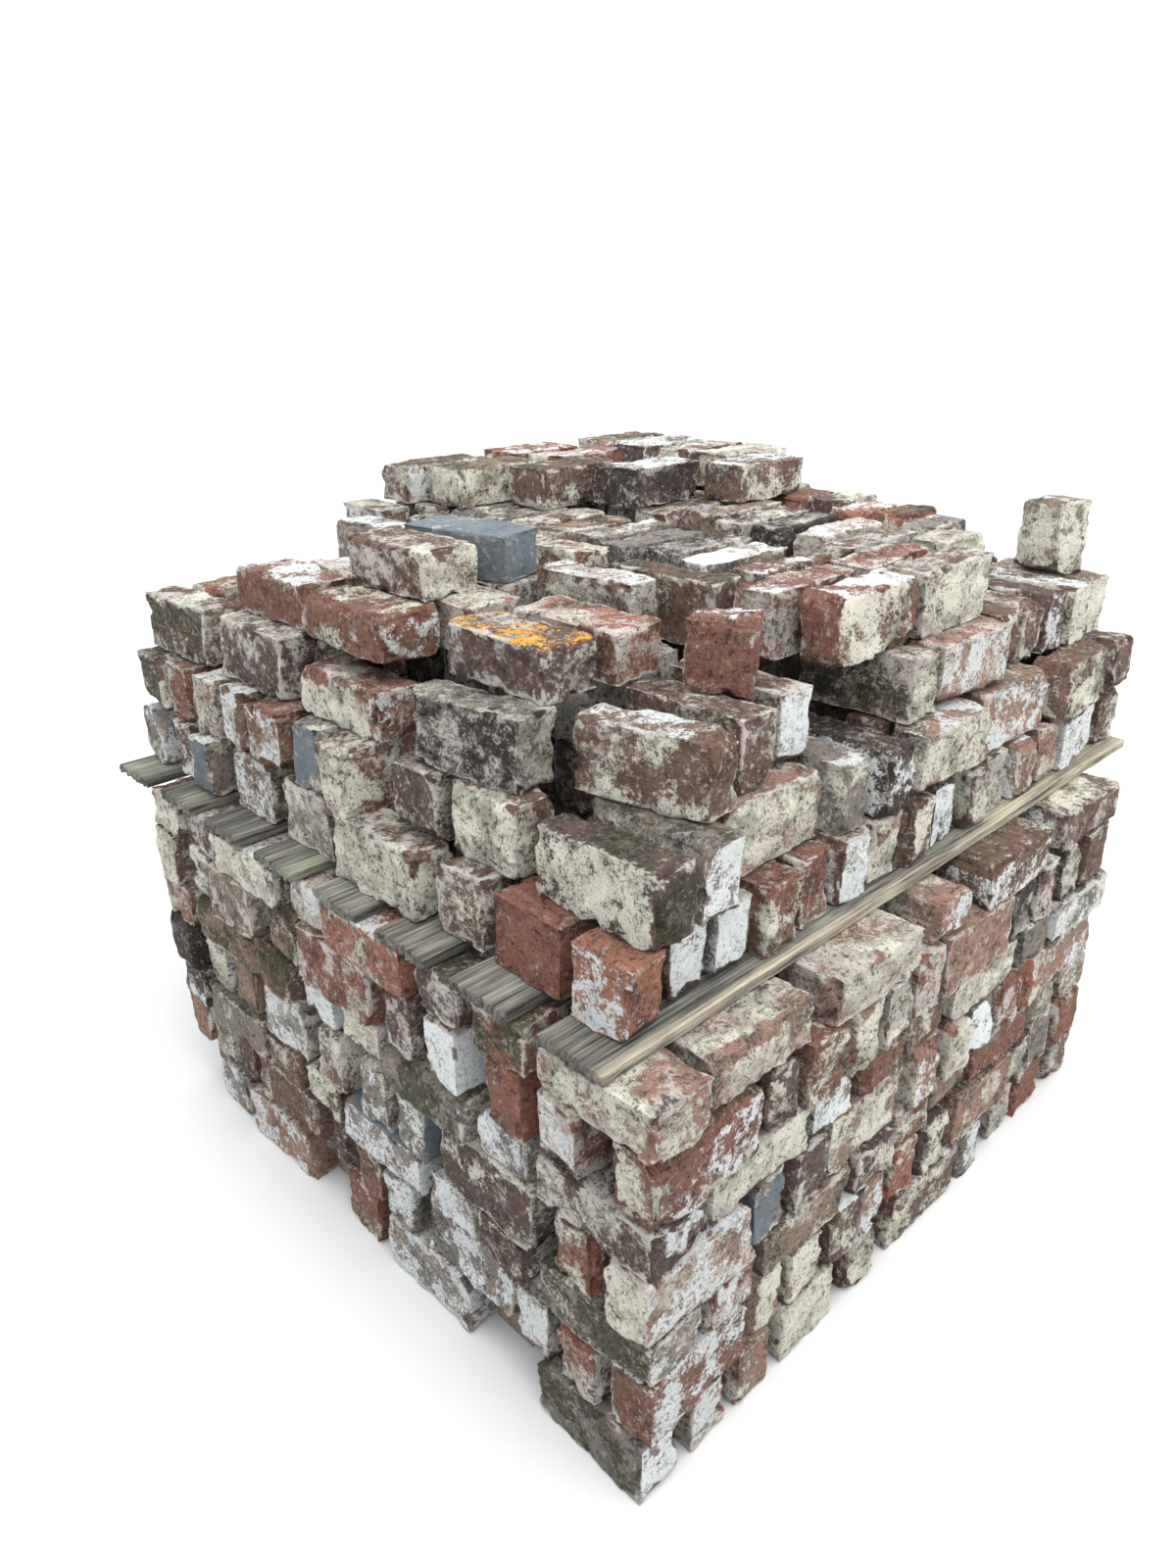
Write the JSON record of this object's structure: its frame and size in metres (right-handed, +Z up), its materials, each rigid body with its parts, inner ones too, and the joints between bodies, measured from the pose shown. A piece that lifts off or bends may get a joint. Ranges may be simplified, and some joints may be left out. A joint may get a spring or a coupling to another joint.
{
  "type": "pallet of reclaimed bricks",
  "caption": "Hand-stacked load of reclaimed clay bricks on a wooden pallet, in two tiers with weathered spacer boards between them.",
  "frame": {"origin": "on the ground, at the middle of the whole load", "axes": "+Z up, X along the long face that shows the edge of the spacer boards, Y along the face that shows their ends"},
  "size_m": [1.6018, 1.4939, 1.268],
  "materials": {
    "clay_brick": "rough, with old mortar, limewash and moss",
    "board_wood": "weathered grey, unpainted",
    "pallet_wood": "dark, damp and unpainted"
  },
  "bodies": {
    "root": {"crown_course": "clay_brick", "ground_course": "clay_brick", "loose_bricks_1": "clay_brick", "loose_bricks_2": "clay_brick", "lower_core": "clay_brick", "lower_course_1": "clay_brick", "lower_course_2": "clay_brick", "lower_course_3": "clay_brick", "lower_course_4": "clay_brick", "lower_course_5": "clay_brick", "lower_course_6": "clay_brick", "pallet_bearer_1": "pallet_wood", "pallet_bearer_2": "pallet_wood", "pallet_bearer_3": "pallet_wood", "pallet_skid_1": "pallet_wood", "pallet_skid_2": "pallet_wood", "pallet_skid_3": "pallet_wood", "pallet_slat_1": "pallet_wood", "pallet_slat_2": "pallet_wood", "pallet_slat_3": "pallet_wood", "pallet_slat_4": "pallet_wood", "pallet_slat_5": "pallet_wood", "pallet_slat_6": "pallet_wood", "pallet_slat_7": "pallet_wood", "pallet_slat_8": "pallet_wood", "spacer_board_1": "board_wood", "spacer_board_2": "board_wood", "spacer_board_3": "board_wood", "spacer_board_4": "board_wood", "spacer_board_5": "board_wood", "spacer_board_6": "board_wood", "spacer_board_7": "board_wood", "spacer_board_8": "board_wood", "top_course": "clay_brick", "upper_core": "clay_brick", "upper_course_1": "clay_brick", "upper_course_2": "clay_brick", "upper_course_3": "clay_brick"}
  },
  "joints": []
}
